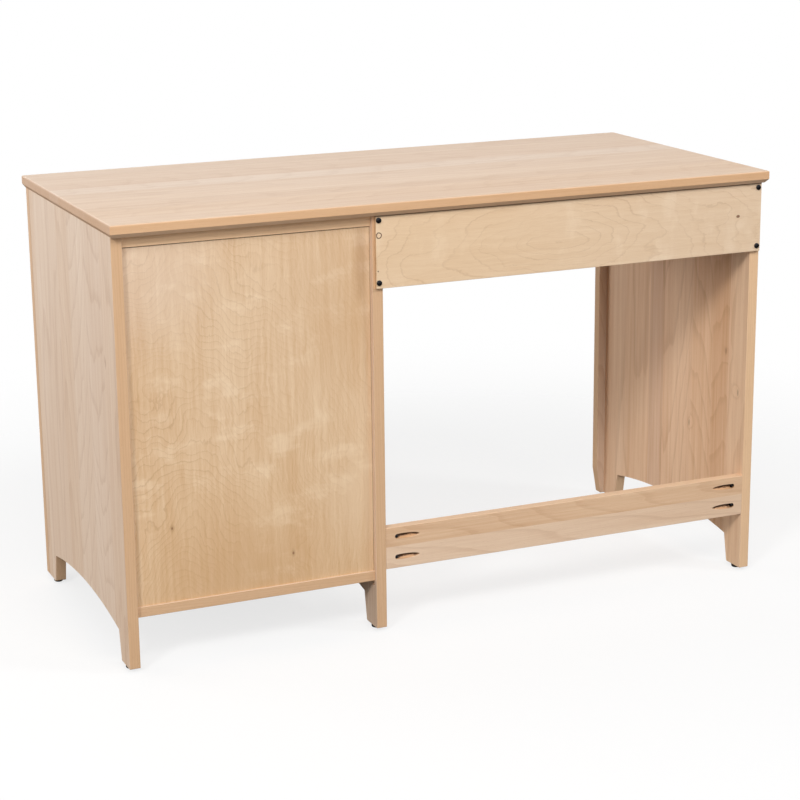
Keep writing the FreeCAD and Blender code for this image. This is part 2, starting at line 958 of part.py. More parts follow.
def drawers():
    pedestal = (pedestal_opening_low, pedestal_opening_high)
    kneehole = (kneehole_opening_low, kneehole_opening_high)
    pedestal_walls = (partition_high, pedestal_inner)
    kneehole_walls = (kneehole_inner, partition_low)
    upper = (upper_opening_low, upper_opening_high)
    middle = (middle_opening_low, apron_low)
    lower = (bottom_high, lower_opening_high)
    return [
        Drawer("drawer_1", pedestal, upper, pedestal_walls, one_knob_shares),
        Drawer("drawer_2", pedestal, middle, pedestal_walls, one_knob_shares),
        Drawer("drawer_3", pedestal, lower, pedestal_walls, one_knob_shares),
        Drawer("center_drawer", kneehole, upper, kneehole_walls, two_knob_shares),
    ]


# ---------------------------------------------------------------- all nodes


def case_parts():
    shapes = {
        "tabletop": tabletop(),
        "pedestal_side": pedestal_side(),
        "partition": partition(),
        "kneehole_side": kneehole_side(),
        "pedestal_stile": pedestal_stile(),
        "middle_stile": middle_stile(),
        "kneehole_stile": kneehole_stile(),
        "pedestal_bottom": pedestal_bottom(),
        "back_top_rail": back_top_rail(),
        "back_panel": back_panel(),
        "kneehole_apron": kneehole_apron(),
        "apron_screws": apron_screws(),
        "lower_stretcher": lower_stretcher(),
        "stretcher_screws": stretcher_screws(),
        "foot_glides": foot_glides(),
        "glide_nails": glide_nails(),
        "top_screws": top_screws(),
    }
    shapes.update({name: frame_rail(name) for name in frame_rail_places()})
    shapes.update({name: cleat(name) for name in cleat_ranges()})
    return shapes


def all_parts():
    shapes = case_parts()
    all_drawers = drawers()
    shapes["slide_spacers"] = group([strip for drawer in all_drawers for strip in drawer.spacers()])
    members = [member for drawer in all_drawers for member in drawer.cabinet_members()]
    shapes["slide_cabinet_members"] = group(members)
    for drawer in all_drawers:
        shapes.update(drawer.parts())
    return shapes


os.makedirs("parts", exist_ok=True)
for node, shape in all_parts().items():
    shape.exportStep(f"parts/{node}.step")
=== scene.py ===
import math
import random

import bpy
from mathutils import Matrix, Vector


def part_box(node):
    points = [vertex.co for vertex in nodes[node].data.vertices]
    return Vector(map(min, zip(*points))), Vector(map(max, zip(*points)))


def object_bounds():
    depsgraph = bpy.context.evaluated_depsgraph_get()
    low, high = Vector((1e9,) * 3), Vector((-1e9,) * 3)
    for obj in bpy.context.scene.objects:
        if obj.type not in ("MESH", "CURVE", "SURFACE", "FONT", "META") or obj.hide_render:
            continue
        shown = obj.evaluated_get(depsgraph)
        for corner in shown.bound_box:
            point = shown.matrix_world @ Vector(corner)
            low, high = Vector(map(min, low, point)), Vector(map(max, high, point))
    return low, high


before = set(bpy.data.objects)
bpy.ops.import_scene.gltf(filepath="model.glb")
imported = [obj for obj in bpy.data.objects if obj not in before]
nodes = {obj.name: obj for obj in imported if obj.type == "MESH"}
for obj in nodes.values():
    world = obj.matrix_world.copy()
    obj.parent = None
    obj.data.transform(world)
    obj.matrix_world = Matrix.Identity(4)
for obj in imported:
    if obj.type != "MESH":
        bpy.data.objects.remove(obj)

# The desk stands on the floor at z = 0 and its rear faces +Y. All lengths are in metres.

cad_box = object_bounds()
drawer_names = ("drawer_1", "drawer_2", "drawer_3", "center_drawer")
axis_letters = "XYZ"

# Camera, behind the desk at its pedestal end
camera_place = (1.5058, 3.4949, 1.3604)
camera_azimuth = 156.53
camera_elevation = 15.03
camera_roll = -0.6
camera_lens = 95.0

# Studio
white = (1.0, 1.0, 1.0, 1.0)
dome_strength = 0.25
floor_size = 16.0
floor_bounce = (0.20, 0.20, 0.20, 1.0)
shadow_share = 0.25
fade_start = 0.8
fade_end = 2.0

# Lamps: degrees round from the desk's front, degrees up, metres away, metres wide, and watts
lamps = {
    "key_light": {"azimuth": 132.0, "elevation": 32.0, "distance": 8.0, "size": 1.4, "power": 225.0},
    "left_light": {"azimuth": 234.0, "elevation": 32.0, "distance": 8.0, "size": 1.4, "power": 139.0},
    "rear_light": {"azimuth": 172.0, "elevation": 36.0, "distance": 5.0, "size": 4.0, "power": 114.0},
    "side_light": {"azimuth": 110.0, "elevation": 14.0, "distance": 6.0, "size": 2.0, "power": 15.0},
    "kneehole_light": {"azimuth": 50.0, "elevation": 4.0, "distance": 6.0, "size": 3.0, "power": 158.0},
    "front_light": {"azimuth": 345.0, "elevation": 35.0, "distance": 5.0, "size": 3.0, "power": 20.0},
    "fill_light": {"azimuth": 15.0, "elevation": 12.0, "distance": 5.0, "size": 3.0, "power": 26.0},
}


def screen_colour(red, green, blue):
    """A colour as it looks on screen, from 0 to 255, turned into the shader's linear values."""
    channels = []
    for value in (red, green, blue):
        share = value / 255
        channels.append(share / 12.92 if share <= 0.04045 else ((share + 0.055) / 1.055) ** 2.4)
    return (*channels, 1.0)


# Woods: pale and deep ends of each wood's tones, its ring lines, and its edge and end grain
alder = {
    "Pale": screen_colour(240, 217, 195),
    "Deep": screen_colour(205, 164, 128),
    "Line": screen_colour(178, 132, 96),
    "Edge": screen_colour(222, 177, 130),
    "End": screen_colour(202, 158, 118),
}
birch = {
    "Pale": screen_colour(241, 213, 180),
    "Deep": screen_colour(211, 168, 122),
    "Line": screen_colour(172, 126, 84),
    "Edge": screen_colour(214, 178, 138),
    "End": screen_colour(206, 168, 128),
}
maple = {
    "Pale": screen_colour(242, 216, 186),
    "Deep": screen_colour(219, 182, 142),
    "Line": screen_colour(180, 138, 98),
    "Edge": screen_colour(216, 182, 142),
    "End": screen_colour(208, 172, 132),
}
veneer_grey = screen_colour(236, 212, 192)
knot_brown = screen_colour(112, 66, 38)
pin_brown = screen_colour(84, 44, 26)
# Painted shade for the upper side and deep end of the stretcher's slots
slot_shade_brown = screen_colour(58, 32, 18)
torn_orange = screen_colour(205, 150, 100)
seam_brown = screen_colour(172, 122, 84)
# Dark joints and glue lines, and painted shade under the tabletop
joint_and_shade_brown = screen_colour(86, 50, 24)
steel_grey = (0.62, 0.63, 0.64, 1.0)
screw_black = (0.030, 0.030, 0.034, 1.0)
glide_black = (0.012, 0.012, 0.013, 1.0)

# Changes to the woods on single pieces
top_tones = {
    "Edge": screen_colour(222, 172, 122),
    "Ring Share": 0.03,
    "Line Share": 0.08,
    "Streak Share": 0.80,
    "Cloud Share": 0.3,
}
kneehole_side_tones = {
    "Pale": screen_colour(245, 213, 184),
    "Deep": screen_colour(208, 158, 116),
    "Edge": screen_colour(238, 201, 163),
    "Line Share": 0.20,
    "Streak Share": 1.2,
    "Ring Share": 0.08,
}
stretcher_tones = {
    "Pale": screen_colour(241, 212, 184),
    "Deep": screen_colour(203, 156, 117),
    "Edge": screen_colour(246, 214, 184),
}
back_rail_tones = {"Edge": screen_colour(248, 204, 154)}
back_panel_tones = {
    **birch,
    "Ring Share": 0.08,
    "Cloud Share": 0.9,
    "Fibre Share": 0.7,
    "Patch Share": 0.36,
    "Streak Share": 1.1,
}
apron_tones = {
    **maple,
    "Tint": 0.36,
    "Line Share": 0.26,
    "Ring Share": 0.05,
    "Cloud Share": 0.5,
    "Fibre Share": 0.6,
}
drawer_bottom_tones = {**birch, "Tint": 0.25}

# Figure of the veneers that show
back_panel_rings = {
    "Eye": (0.08, 0.50, 0.0),
    "Stretch": 0.55,
    "Ring Width": 0.0080,
    "Swell": 0.055,
    "Swell Size": (7.0, 9.0, 1.0),
    "Jitter": 0.014,
    "Line Start": 0.80,
    "Line Full": 0.95,
    "Seed": 3.0,
}
apron_rings = {
    "Eye": (-0.193, 0.6695, 0.0),
    "Stretch": 0.31,
    "Ring Width": 0.012,
    "Swell": 0.034,
    "Swell Size": (5.0, 14.0, 1.0),
    "Jitter": 0.014,
    "Line Start": 0.84,
    "Line Full": 0.95,
    "Seed": 7.0,
}

# What fades across a veneer: along which axis, from where to where, and from which value to which
back_panel_fades = {
    "Tint": ("Z", 0.12, 0.42, 0.50, 0.38),
    "Warmth": ("Z", 0.12, 0.68, 0.85, 0.50),
    "Line Share": ("X", 0.26, 0.47, 0.12, 0.24),
}
apron_fades = {"Warmth": ("X", -0.55, 0.10, 0.40, 0.80)}

# Glued boards: where each one starts, its tint and its warmth
top_staves = (
    (-0.279, 0.30, 0.45),
    (-0.212, 0.30, 0.50),
    (-0.148, 0.34, 0.50),
    (-0.084, 0.14, 0.35),
    (-0.022, 0.26, 0.55),
    (0.046, 0.28, 0.60),
    (0.108, 0.34, 0.60),
    (0.160, 0.40, 0.75),
    (0.230, 0.36, 0.70),
)
side_staves = (
    (-0.273, 0.30, 0.60),
    (-0.224, 0.22, 0.50),
    (-0.120, 0.30, 0.50),
    (-0.071, 0.40, 0.60),
    (0.004, 0.22, 0.50),
    (0.104, 0.24, 0.45),
    (0.204, 0.30, 0.55),
)
partition_staves = (
    (-0.273, 0.34, 0.5),
    (-0.182, 0.44, 0.6),
    (-0.088, 0.28, 0.4),
    (0.006, 0.38, 0.5),
    (0.098, 0.30, 0.6),
    (0.190, 0.40, 0.5),
)
kneehole_staves = (
    (-0.273, 0.40, 0.75),
    (-0.172, 0.46, 0.85),
    (-0.075, 0.56, 0.35),
    (-0.020, 0.36, 0.85),
    (0.085, 0.50, 1.00),
    (0.158, 0.60, 1.00),
    (0.216, 0.36, 1.00),
)

# The stretcher's boards: where each starts as a share of its height, its tint and its warmth
stretcher_boards = ((0.0, 0.20, 0.55), (0.53, 0.43, 1.0))

# Single boards: the axes along and across the grain, and the tint
single_boards = {
    "pedestal_top_rail": ("XZ", 0.34),
    "kneehole_top_rail": ("XZ", 0.30),
    "kneehole_drawer_rail": ("XZ", 0.42),
    "pedestal_rail_upper": ("XZ", 0.36),
    "pedestal_rail_lower": ("XZ", 0.30),
    "pedestal_bottom_rail": ("XZ", 0.38),
    "cleat_pedestal": ("YX", 0.45),
    "cleat_partition": ("YX", 0.45),
    "cleat_kneehole": ("YX", 0.45),
    "slide_spacers": ("YX", 0.45),
}
stiles = ("pedestal_stile", "middle_stile", "kneehole_stile")
stile_tint = 0.4
back_rail_tint = 0.26
bottom_tint = 0.36
bottom_seams = (0.2, 0.4, 0.6, 0.8)
tint_steps = (0.08, -0.06)
even_warmth = 0.5

# Drawers: fronts above this height are glued from boards, and each front is a little deeper than the last
glued_front_height = 0.12
front_seams = (0.36, 0.70)
front_tint = 0.28
front_tint_step = 0.03
drawer_boards = {"sides": ("YZ", 0.22), "back": ("XZ", 0.24), "knob": ("YX", 0.36)}

# Knots, nicks and pins in the faces, by their two places in the face
side_nicks = ((0.211, 0.530), (0.214, 0.521), (0.2165, 0.526))
kneehole_knots = ((0.083, 0.245), (0.208, 0.415), (0.253, 0.345))
back_panel_knots = ((0.522, 0.242), (0.307, 0.167))
back_panel_streak = (0.176, 0.66)
back_panel_shade = (0.20, 0.60)
apron_knot = (-0.558, 0.6855)
apron_faint_knot = (-0.589, 0.7345)
apron_plug = (0.147, 0.7095)
apron_pin = (0.149, 0.6485)

# Broad patches of the back panel: place in the face, reach, blur, share and colour
patch_ragged = 3.0
back_panel_patches = (
    ((0.40, 0.14), 0.02, 0.17, 0.50, birch["Deep"]),
    ((0.17, 0.24), 0.02, 0.12, 0.40, birch["Pale"]),
    ((0.56, 0.68), 0.03, 0.15, 0.35, veneer_grey),
)

# Slots in the stretcher: middle of the lower row, distance between rows, half a slot's width and its blur
pocket_low = 0.1345
pocket_spacing = 0.038
pocket_reach = 0.0050
pocket_blur = 0.0008
pocket_tear = 0.012

# Where the slots' colours start and are full: inside either face, and for the painted shade, up from a slot's
# middle and at its end
face_skin = (0.0001, 0.0006)
front_skin = (0.0002, 0.0008)
shade_heights = (-0.0022, 0.0008)
shade_depths = (0.0035, 0.0070)

# How much shorter and narrower the streaks of a veneer are than those of a board, and how they waver
veneer_fibre = (3.0, 1.6, 1.6)
veneer_crinkle = 0.012
veneer_chance = 0.3

# Where in a ring of a solid board its dark line starts and is full
board_line_range = (0.72, 0.92)

# Bare wood: its gloss, and how far its fibre stands up
wood_gloss = 0.35
fibre_height = 0.0003

# How far a face has to turn to count as edge or end grain, and to be flat beside a rounded corner
turned_range = (0.55, 0.85)
flat_range = (0.86, 0.985)
# How far down a rounded corner may face and still get its painted highlight
downward_range = (-0.4, -0.1)

# Metal and plastic: how dark the mottling goes, how fine the scratches are, and the scuffs' share and range
mottle_share = 0.7
scratch_fineness = 9
scuff_share = 2.2
scuff_range = (0.55, 0.80)

# A wood's own colour is cast between these two by its warmth
cool_cast = (0.97, 1.0, 1.07, 1.0)
warm_cast = (1.03, 1.0, 0.93, 1.0)

# How far a piece's box is widened where its boards are laid out, so that no face lies on its limit
box_margin = 0.0005


# Shader graphs


class Graph:
    """Short calls that add nodes to one node tree and wire them."""

    def __init__(self, tree):
        self.tree = tree

    def add(self, kind, inputs=(), **settings):
        node = self.tree.nodes.new(kind)
        for key, value in settings.items():
            setattr(node, key, value)
        for key, value in dict(inputs).items():
            self.feed(node.inputs[key], value)
        return node

    def feed(self, socket, value):
        if isinstance(value, bpy.types.NodeSocket):
            self.tree.links.new(value, socket)
        else:
            socket.default_value = value

    def math(self, operation, first, second=0.0):
        return self.add("ShaderNodeMath", {0: first, 1: second}, operation=operation).outputs[0]

    def product(self, *values):
        result = values[0]
        for value in values[1:]:
            result = self.math("MULTIPLY", result, value)
        return result

    def total(self, *values):
        result = values[0]
        for value in values[1:]:
            result = self.math("ADD", result, value)
        return result

    def swing(self, value, reach):
        """A value round a half, turned into one round zero and scaled."""
        return self.product(self.math("SUBTRACT", value, 0.5), reach)

    def smooth(self, value, low, high):
        inputs = {"Value": value, "From Min": low, "From Max": high}
        return self.add("ShaderNodeMapRange", inputs, interpolation_type="SMOOTHSTEP").outputs["Result"]

    def split(self, vector):
        return self.add("ShaderNodeSeparateXYZ", {0: vector}).outputs

    def join(self, x, y, z):
        return self.add("ShaderNodeCombineXYZ", {0: x, 1: y, 2: z}).outputs[0]

    def vector(self, operation, first, second):
        return self.add("ShaderNodeVectorMath", {0: first, 1: second}, operation=operation).outputs[0]

    def length(self, vector):
        return self.add("ShaderNodeVectorMath", {0: vector}, operation="LENGTH").outputs["Value"]

    def noise(self, place, stretch, detail=2.0, roughness=0.5):
        """Noise round a half, with so many features to the metre along each axis as stretch says."""
        scaled = self.vector("MULTIPLY", place, stretch)
        inputs = {"Vector": scaled, "Scale": 1.0, "Detail": detail, "Roughness": roughness}
        return self.add("ShaderNodeTexNoise", inputs).outputs[0]

    def mix(self, share, first, second, blend="MIX"):
        settings = {"data_type": "RGBA", "blend_type": blend}
        return self.add("ShaderNodeMix", {0: share, 6: first, 7: second}, **settings).outputs[2]

    def group(self, tree, inputs):
        node = self.add("ShaderNodeGroup", node_tree=tree)
        for key, value in inputs.items():
            self.feed(node.inputs[key], value)
        return node.outputs

    def object_place(self):
        return self.add("ShaderNodeTexCoord").outputs["Object"]


def new_group(name, inputs, outputs):
    """A node group with named sockets: its graph, what comes in, and what goes out."""
    tree = bpy.data.node_groups.new(name, "ShaderNodeTree")
    for label, value in inputs.items():
        kind = "Float" if isinstance(value, float) else ("Vector" if len(value) == 3 else "Color")
        socket = tree.interface.new_socket(label, in_out="INPUT", socket_type=f"NodeSocket{kind}")
        socket.default_value = value
    for label, kind in outputs.items():
        tree.interface.new_socket(label, in_out="OUTPUT", socket_type=f"NodeSocket{kind}")
    start = tree.nodes.new("NodeGroupInput").outputs
    end = tree.nodes.new("NodeGroupOutput").inputs
    return Graph(tree), start, end


def ring_masks(g, count, first, last):
    """From a running ring count: a tone that deepens through each ring, and the line that ends it."""
    uneven = g.noise(g.join(g.product(count, 0.31), 0.0, 0.0), (1.0, 1.0, 1.0), detail=1.0)
    share = g.math("FRACT", g.total(count, g.product(uneven, 1.8)))
    rise = g.smooth(share, first, last)
    fall = g.math("SUBTRACT", 1.0, g.smooth(share, 0.96, 1.0))
    return g.math("POWER", share, 1.5), g.product(rise, fall)


def growth_rings_group():
    """Growth rings of a sawn board: shells round a pith that lies under the board's face."""
    inputs = {
        "Position": (0.0, 0.0, 0.0),
        "Chance": 0.5,
        "Middle": 0.0,
        "Ring Width": 0.0042,
        "Pith Depth": 0.05,
        "Pith Spread": 0.12,
        "Lean": 0.05,
        "Wander": 0.010,
        "Bend": 0.0,
    }
    g, given, end = new_group("growth_rings", inputs, {"Rings": "Float", "Lines": "Float"})
    chance = given["Chance"]
    seed = g.join(g.product(chance, 37.1), g.product(chance, 91.7), g.product(chance, 53.3))
    place = g.vector("ADD", given["Position"], seed)
    along, across, depth = g.split(given["Position"])[:3]
    luck = [g.math("FRACT", g.product(chance, factor)) for factor in (7.13, 3.71, 5.37)]
    sway = g.swing(g.noise(place, (1.1, 6.0, 6.0)), g.product(given["Wander"], 2.0))
    ripple = g.swing(g.noise(place, (6.0, 40.0, 40.0)), 0.0030)
    off_middle = g.math("SUBTRACT", across, given["Middle"])
    side = g.math("SUBTRACT", off_middle, g.swing(luck[0], given["Pith Spread"]))
    lean = g.product(g.swing(luck[2], given["Lean"]), 2.0, along)
    below = g.total(depth, g.product(given["Pith Depth"], g.total(luck[1], 0.4)), lean)
    radius = g.math("SQRT", g.total(g.product(side, side), g.product(below, below)))
    count = g.math("DIVIDE", g.total(radius, sway, ripple, given["Bend"]), given["Ring Width"])
    rings, lines = ring_masks(g, count, *board_line_range)
    g.feed(end["Rings"], rings)
    g.feed(end["Lines"], lines)
    return g.tree


def peeled_rings_group():
    """The figure of a peeled veneer: contour lines of a slow swell round one eye, and pale patches."""
    inputs = {
        "Position": (0.0, 0.0, 0.0),
        "Eye": (0.0, 0.0, 0.0),
        "Stretch": 0.3,
        "Ring Width": 0.010,
        "Swell": 0.03,
        "Swell Size": (3.0, 9.0, 1.0),
        "Jitter": 0.004,
        "Line Start": 0.76,
        "Line Full": 0.94,
        "Bend": 0.0,
        "Seed": 0.0,
    }
    outputs = {"Rings": "Float", "Lines": "Float", "Patches": "Float"}
    g, given, end = new_group("peeled_rings", inputs, outputs)
    place = g.vector("ADD", given["Position"], g.join(given["Seed"], given["Seed"], 0.0))
    out, up = g.split(g.vector("SUBTRACT", given["Position"], given["Eye"]))[:2]
    out = g.product(out, given["Stretch"])
    radius = g.math("SQRT", g.total(g.product(out, out), g.product(up, up)))
    hills = g.noise(place, given["Swell Size"], roughness=0.45)
    swell = g.swing(hills, g.product(given["Swell"], 2.0))
    jitter = g.swing(g.noise(place, (20.0, 36.0, 1.0), detail=4.0, roughness=0.65), given["Jitter"])
    count = g.math("DIVIDE", g.total(radius, swell, jitter, given["Bend"]), given["Ring Width"])
    rings, lines = ring_masks(g, count, given["Line Start"], given["Line Full"])
    shown = g.smooth(g.noise(place, (7.0, 9.0, 1.0)), 0.36, 0.60)
    patches = g.smooth(g.noise(place, (30.0, 14.0, 1.0), detail=3.0, roughness=0.6), 0.50, 0.72)
    drift = g.smooth(g.noise(place, (4.0, 5.0, 1.0)), 0.38, 0.54)
    g.feed(end["Rings"], rings)
    g.feed(end["Lines"], g.product(lines, g.total(0.25, g.product(shown, 0.75))))
    g.feed(end["Patches"], g.product(patches, drift))
    return g.tree


def wood_fibre_group():
    """What runs with the grain: broad clouds, streaks, fine fibre, and short dark pores."""
    inputs = {"Position": (0.0, 0.0, 0.0), "Chance": 0.5, "Crinkle": 0.0}
    outputs = {"Cloud": "Float", "Streaks": "Float", "Fibre": "Float", "Pores": "Float"}
    g, given, end = new_group("wood_fibre", inputs, outputs)
    chance = given["Chance"]
    seed = g.join(g.product(chance, 17.3), g.product(chance, 61.9), g.product(chance, 43.7))
    place = g.vector("ADD", given["Position"], seed)
    drift = g.swing(g.noise(place, (1.3, 8.0, 8.0)), 0.02)
    crinkle = g.swing(g.noise(place, (14.0, 30.0, 30.0)), given["Crinkle"])
    place = g.vector("ADD", place, g.join(0.0, g.total(drift, crinkle), 0.0))
    g.feed(end["Cloud"], g.noise(place, (1.3, 7.0, 7.0)))
    g.feed(end["Streaks"], g.noise(place, (1.8, 85.0, 85.0), detail=5.0, roughness=0.68))
    g.feed(end["Fibre"], g.noise(place, (11.0, 620.0, 620.0), detail=3.0, roughness=0.65))
    g.feed(end["Pores"], g.smooth(g.noise(place, (110.0, 1500.0, 1500.0), detail=1.0), 0.64, 0.76))
    return g.tree


def wood_tones_group():
    """Turns rings and fibre into colour, roughness and height, with darker edge and end grain, and a painted
    highlight on rounded corners.
    """
    inputs = {
        "Pale": alder["Pale"],
        "Deep": alder["Deep"],
        "Line": alder["Line"],
        "Edge": alder["Edge"],
        "End": alder["End"],
        "Tint": 0.35,
        "Warmth": 0.5,
        "Rings": 0.0,
        "Lines": 0.0,
        "Cloud": 0.5,
        "Streaks": 0.5,
        "Fibre": 0.5,
        "Pores": 0.0,
        "Patches": 0.0,
        "Ring Share": 0.06,
        "Line Share": 0.16,
        "Cloud Share": 0.5,
        "Streak Share": 0.75,
        "Fibre Share": 0.6,
        "Pore Share": 0.25,
        "Patch Share": 0.22,
        "Edge Face": 0.0,
        "End Face": 0.0,
        "Arris": 0.0,
    }
    outputs = {"Color": "Color", "Roughness": "Float", "Height": "Float"}
    g, given, end = new_group("wood_tones", inputs, outputs)
    tone = given["Tint"]
    for name, share in (("Cloud", "Cloud Share"), ("Streaks", "Streak Share"), ("Fibre", "Fibre Share")):
        tone = g.total(tone, g.swing(given[name], given[share]))
    tone = g.total(tone, g.product(given["Rings"], given["Ring Share"]))
    tone = g.math("SUBTRACT", tone, g.product(given["Patches"], given["Patch Share"]))
    tone = g.math("MINIMUM", g.math("MAXIMUM", tone, 0.0), 1.0)
    colour = g.mix(tone, given["Pale"], given["Deep"])
    for name, paler, deeper in (("Edge", 0.30, 0.30), ("End", 0.25, 0.35)):
        pale = g.mix(paler, given[name], given["Pale"])
        deep = g.mix(deeper, given[name], given["Line"])
        colour = g.mix(given[f"{name} Face"], colour, g.mix(tone, pale, deep))
    line_strength = g.product(given["Lines"], given["Line Share"], g.total(given["Cloud"], 0.35))
    colour = g.mix(line_strength, colour, given["Line"])
    colour = g.mix(g.product(given["Pores"], given["Pore Share"]), colour, given["Line"])
    cast = g.mix(given["Warmth"], cool_cast, warm_cast)
    colour = g.mix(1.0, colour, cast, blend="MULTIPLY")
    # Painted highlight: rounded corners that do not face down are paled
    colour = g.mix(g.product(given["Arris"], 0.20), colour, given["Pale"])
    g.feed(end["Color"], colour)
    g.feed(end["Roughness"], g.total(0.55, g.swing(given["Fibre"], 0.25), g.product(given["Arris"], -0.08)))
    hollow = g.math("SUBTRACT", given["Fibre"], g.product(given["Pores"], 0.8))
    g.feed(end["Height"], g.math("SUBTRACT", hollow, g.product(given["Lines"], 0.25)))
    return g.tree


def wood_mark_group():
    """One mark in a face: a spot or a ring with a ragged rim, at a place on the object."""
    inputs = {
        "Position": (0.0, 0.0, 0.0),
        "Place": (0.0, 0.0, 0.0),
        "Scale": (1.0, 1.0, 1.0),
        "Inner": -1.0,
        "Outer": 0.003,
        "Blur": 0.001,
        "Ragged": 0.7,
    }
    g, given, end = new_group("wood_mark", inputs, {"Mask": "Float"})
    away = g.vector("MULTIPLY", g.vector("SUBTRACT", given["Position"], given["Place"]), given["Scale"])
    rim = g.noise(given["Position"], (240.0, 240.0, 240.0))
    wobble = g.swing(rim, g.product(given["Outer"], given["Ragged"]))
    reach = g.total(g.length(away), wobble)
    outside = g.smooth(reach, given["Outer"], g.total(given["Outer"], given["Blur"]))
    inside = g.smooth(reach, g.math("SUBTRACT", given["Inner"], given["Blur"]), given["Inner"])
    g.feed(end["Mask"], g.product(g.math("SUBTRACT", 1.0, outside), inside))
    return g.tree


def ply_edge_group():
    """The bands of a plywood edge, with a thin dark glue line between its plies."""
    inputs = {"Through": 0.5, "Plies": 5.0}
    g, given, end = new_group("ply_edge", inputs, {"Cross Ply": "Float", "Glue": "Float"})
    count = g.product(given["Through"], given["Plies"])
    half = g.math("FRACT", g.product(count, 0.5))
    edge = g.math("ABSOLUTE", g.math("SUBTRACT", g.math("FRACT", count), 0.5))
    g.feed(end["Cross Ply"], g.math("GREATER_THAN", half, 0.5))
    g.feed(end["Glue"], g.smooth(edge, 0.40, 0.48))
    return g.tree


growth_rings = growth_rings_group()
peeled_rings = peeled_rings_group()
wood_fibre = wood_fibre_group()
wood_tones = wood_tones_group()
wood_mark = wood_mark_group()
ply_edge = ply_edge_group()


# Materials


def new_material(name):
    """An empty material: its graph and the Principled shader that it ends in."""
    material = bpy.data.materials.new(name)
    material.use_nodes = True
    return material, Graph(material.node_tree), material.node_tree.nodes["Principled BSDF"]


def dress(node, material):
    """Gives a CAD node its finish."""
    materials = nodes[node].data.materials
    materials.clear()
    materials.append(material)


def span(node, axis):
    """The lowest and highest place of a node along an axis."""
    low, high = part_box(node)
    index = axis_letters.index(axis)
    return low[index] - box_margin, high[index] + box_margin


def grain_place(g, grain):
    """Object coordinates turned so that the grain runs along the first axis and the boards lie beside it."""
    first, second = (axis_letters.index(letter) for letter in grain)
    parts = g.split(g.object_place())
    return g.join(parts[first], parts[second], parts[3 - first - second])


def face_masks(g, grain):
    """Where the surface faces across the boards, along the grain, or is a rounded corner that does not face
    down, for a painted highlight.
    """
    first, second = (axis_letters.index(letter) for letter in grain)
    facing = g.split(g.add("ShaderNodeNewGeometry").outputs["Normal"])[:3]
    turned = [g.math("ABSOLUTE", part) for part in facing]
    highest = g.math("MAXIMUM", g.math("MAXIMUM", turned[0], turned[1]), turned[2])
    rounded = g.math("SUBTRACT", 1.0, g.smooth(highest, *flat_range))
    return {
        "Edge Face": g.smooth(turned[second], *turned_range),
        "End Face": g.smooth(turned[first], *turned_range),
        "Arris": g.product(rounded, g.smooth(facing[2], *downward_range)),
    }


def board_values(g, across, staves, high):
    """For each glued board of a panel: a chance, its middle line, its tint and its warmth."""
    low = staves[0][0]
    starts = [stave[0] for stave in staves] + [high]
    ramp = g.add("ShaderNodeValToRGB")
    ramp.color_ramp.interpolation = "CONSTANT"
    elements = ramp.color_ramp.elements
    elements.remove(elements[1])
    chooser = random.Random(round(1000 * (low + high)) + len(staves))
    for index, (start, tint, warmth) in enumerate(staves):
        share = (start - low) / (high - low)
        middle = ((start + starts[index + 1]) / 2 - low) / (high - low)
        element = elements[0] if index == 0 else elements.new(share)
        element.position = share
        element.color = (chooser.random(), middle, tint, warmth)
    g.feed(ramp.inputs["Fac"], g.math("DIVIDE", g.math("SUBTRACT", across, low), high - low))
    chance, middle, tint = g.add("ShaderNodeSeparateColor", {0: ramp.outputs["Color"]}).outputs[:3]
    middle = g.total(g.product(middle, high - low), low)
    return chance, middle, tint, ramp.outputs["Alpha"]


def joint_and_shade_line(axis, place, width=0.0009, share=0.8, colour=joint_and_shade_brown):
    """A dark line where a neighbour meets the face, across one axis: for glue lines and joints, and for the
    painted shade under the tabletop.
    """
    where = tuple(place if letter == axis else 0.0 for letter in axis_letters)
    only = tuple(1.0 if letter == axis else 0.0 for letter in axis_letters)
    line = {"Place": where, "Scale": only, "Outer": width, "Blur": width, "Ragged": 0.4}
    return {**line, "share": share, "colour": colour}


def spot(place, outer, blur, share, colour, **more):
    """A knot or pin in the face at a place on the object."""
    return {"Place": place, "Outer": outer, "Blur": blur, "share": share, "colour": colour, **more}


def mark_mask(g, mark):
    """The mask of one mark, given as a table of the mark group's inputs."""
    inputs = {key: value for key, value in mark.items() if key not in ("colour", "share")}
    return g.group(wood_mark, {"Position": g.object_place(), **inputs})["Mask"]


def bend_round(g, bends):
    """How far the rings swerve round each knot."""
    total = 0.0
    for place, reach, amount in bends:
        mask = mark_mask(g, {"Place": place, "Outer": 0.0, "Blur": reach, "Ragged": 0.0})
        total = g.total(g.product(mask, amount), total)
    return total


def finish_wood(g, shader, inputs, marks, layers):
    """Wires the tones into the shader, with marks and other layers laid over the colour."""
    toned = g.group(wood_tones, inputs)
    colour = toned["Color"]
    for mark in marks:
        colour = g.mix(g.product(mark_mask(g, mark), mark["share"]), colour, mark["colour"])
    for mask, layer_colour in layers:
        colour = g.mix(mask, colour, layer_colour)
    g.feed(shader.inputs["Base Color"], colour)
    g.feed(shader.inputs["Roughness"], toned["Roughness"])
    shader.inputs["Specular IOR Level"].default_value = wood_gloss
    raised = g.add("ShaderNodeBump", {"Height": toned["Height"], "Distance": fibre_height, "Strength": 0.5})
    g.feed(shader.inputs["Normal"], raised.outputs["Normal"])


